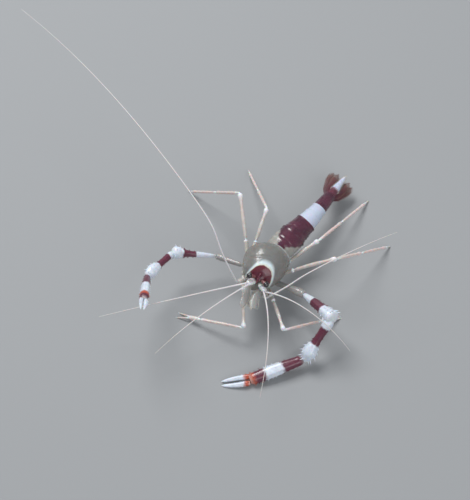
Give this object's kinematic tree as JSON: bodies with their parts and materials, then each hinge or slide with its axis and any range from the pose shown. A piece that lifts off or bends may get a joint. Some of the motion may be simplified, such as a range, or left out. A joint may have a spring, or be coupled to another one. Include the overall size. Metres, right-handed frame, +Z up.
{
  "type": "banded cleaner shrimp model",
  "caption": "Life-size banded cleaner shrimp standing on slender legs, great spiny claws held out, long feelers spread, segmented abdomen and tail fan.",
  "frame": {"origin": "middle of the bounding box on the floor the feet stand on", "axes": "+Z up; the head points along -Y and the tail along +Y; the animal's own left side is +X, and its right antenna runs back along -X and +Y"},
  "size_m": [0.1348, 0.0906, 0.0397],
  "materials": {
    "carapace": "thin glassy shell, grey-tan, with a maroon saddle patch at the front edged in white",
    "underside": "glassy, pale grey-tan",
    "eye": "wet black ball on a pale stalk",
    "feeler_base": "glassy white with clear edges",
    "feeler": "fine cream-white whip with close rings",
    "front_limb": "glassy pale grey, with short hairs",
    "walking_leg": "glassy bluish white, white at the knees",
    "claw_clear": "glassy pale grey",
    "claw_banded": "hard shell in broad crimson and white bands, with short spines",
    "claw_finger": "white, with an orange-red root",
    "abdomen_clear": "glassy grey-tan ring",
    "abdomen_red": "crimson-maroon ring with glassy side plates",
    "abdomen_white": "bluish white ring with glassy side plates",
    "telson": "white blade with two ridges and a fringe of hairs",
    "tail_fan": "reddish brown blade with a pale hairy edge"
  },
  "bodies": {
    "root": {"carapace": "carapace", "thorax": "underside", "eye_left": "eye", "eye_right": "eye", "antennule_stem_left": "feeler_base", "antenna_stem_left": "feeler_base", "antenna_scale_left": "feeler_base", "antennule_stem_right": "feeler_base", "antenna_stem_right": "feeler_base", "antenna_scale_right": "feeler_base", "antennule_outer_left": "feeler", "antennule_inner_left": "feeler", "antenna_near_left": "feeler", "antenna_far_left": "feeler", "antennule_outer_right": "feeler", "antennule_inner_right": "feeler", "antenna_near_right": "feeler", "antenna_far_right": "feeler", "mouth_leg_left": "front_limb", "first_leg_left": "front_limb", "mouth_leg_right": "front_limb", "first_leg_right": "front_limb", "second_leg_upper_left": "walking_leg", "second_leg_wrist_left": "walking_leg", "second_leg_pincer_left": "walking_leg", "second_leg_upper_right": "walking_leg", "second_leg_wrist_right": "walking_leg", "second_leg_pincer_right": "walking_leg", "fourth_leg_upper_left": "walking_leg", "fourth_leg_lower_left": "walking_leg", "fourth_leg_upper_right": "walking_leg", "fourth_leg_lower_right": "walking_leg", "fifth_leg_upper_left": "walking_leg", "fifth_leg_lower_left": "walking_leg", "fifth_leg_upper_right": "walking_leg", "fifth_leg_lower_right": "walking_leg", "claw_ischium_left": "claw_clear", "claw_merus_left": "claw_banded", "claw_carpus_left": "claw_banded", "claw_palm_left": "claw_banded", "claw_finger_left": "claw_finger", "claw_ischium_right": "claw_clear", "claw_merus_right": "claw_banded", "claw_carpus_right": "claw_banded", "claw_palm_right": "claw_banded", "claw_finger_right": "claw_finger", "abdomen_1": "abdomen_clear", "abdomen_2": "abdomen_red", "abdomen_3": "abdomen_red", "abdomen_4": "abdomen_white", "abdomen_5": "abdomen_white", "abdomen_6": "abdomen_red", "telson": "telson", "tail_inner_left": "tail_fan", "tail_outer_left": "tail_fan", "tail_inner_right": "tail_fan", "tail_outer_right": "tail_fan"}
  },
  "joints": []
}
